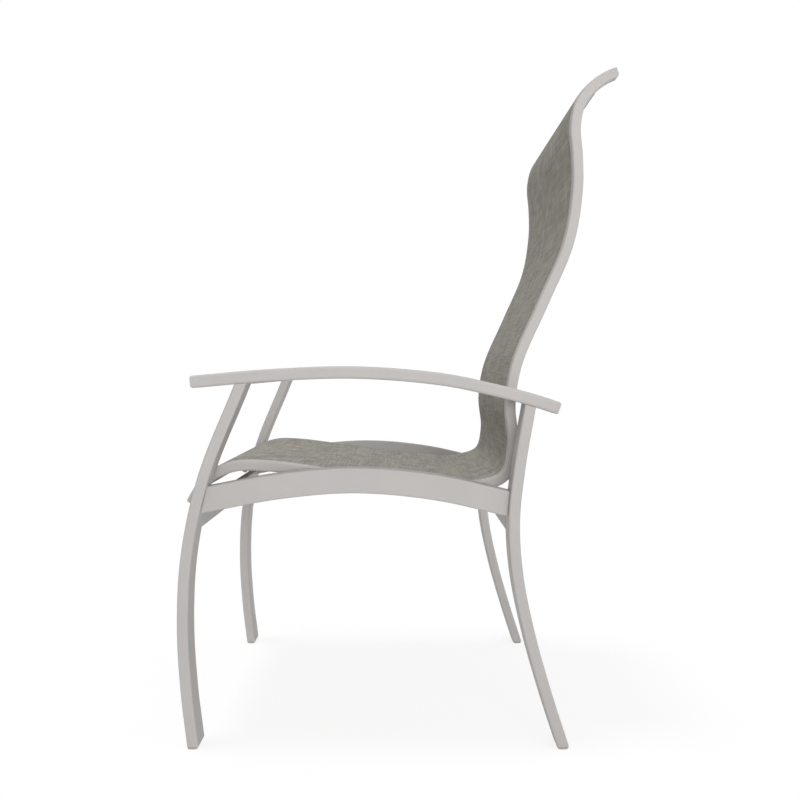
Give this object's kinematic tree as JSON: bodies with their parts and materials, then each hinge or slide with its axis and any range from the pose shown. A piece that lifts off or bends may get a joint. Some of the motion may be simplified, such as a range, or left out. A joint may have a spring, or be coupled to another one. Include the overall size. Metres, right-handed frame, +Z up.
{
  "type": "sling patio chair",
  "caption": "High-back outdoor armchair with a tensioned mesh sling on bent side rails, curved flat-tube legs, arched arms and side rails, and cross stretchers.",
  "frame": {"origin": "on the floor under the middle of the chair's overall box", "axes": "+X towards the sitter's left, the sitter faces -Y, +Z up"},
  "size_m": [0.632, 0.7381, 1.1384],
  "materials": {
    "powder_coat": "warm light grey powder coat, satin",
    "sling_mesh": "woven vinyl-coated polyester mesh in mixed grey-beige yarns",
    "nylon": "moulded, light grey",
    "spline_plastic": "extruded cord",
    "stainless_steel": "plain"
  },
  "bodies": {
    "root": {"arm_left": "powder_coat", "arm_plug_front_left": "nylon", "arm_plug_front_right": "nylon", "arm_plug_rear_left": "nylon", "arm_plug_rear_right": "nylon", "arm_right": "powder_coat", "front_glide_left": "nylon", "front_glide_right": "nylon", "front_leg_left": "powder_coat", "front_leg_right": "powder_coat", "front_stretcher": "powder_coat", "rail_bolt_front_left": "stainless_steel", "rail_bolt_front_right": "stainless_steel", "rail_bolt_rear_left": "stainless_steel", "rail_bolt_rear_right": "stainless_steel", "rail_spacer_front_left": "nylon", "rail_spacer_front_right": "nylon", "rail_spacer_rear_left": "nylon", "rail_spacer_rear_right": "nylon", "rear_glide_left": "nylon", "rear_glide_right": "nylon", "rear_leg_left": "powder_coat", "rear_leg_right": "powder_coat", "rear_stretcher": "powder_coat", "rivet_nut_front_left": "stainless_steel", "rivet_nut_front_right": "stainless_steel", "rivet_nut_rear_left": "stainless_steel", "rivet_nut_rear_right": "stainless_steel", "side_rail_left": "powder_coat", "side_rail_right": "powder_coat", "sling": "sling_mesh", "sling_rail_cap_front_left": "nylon", "sling_rail_cap_front_right": "nylon", "sling_rail_cap_top_left": "nylon", "sling_rail_cap_top_right": "nylon", "sling_rail_left": "powder_coat", "sling_rail_right": "powder_coat", "sling_spline_left": "spline_plastic", "sling_spline_right": "spline_plastic", "spreader_front": "powder_coat", "spreader_lumbar": "powder_coat", "spreader_top": "powder_coat"}
  },
  "joints": []
}
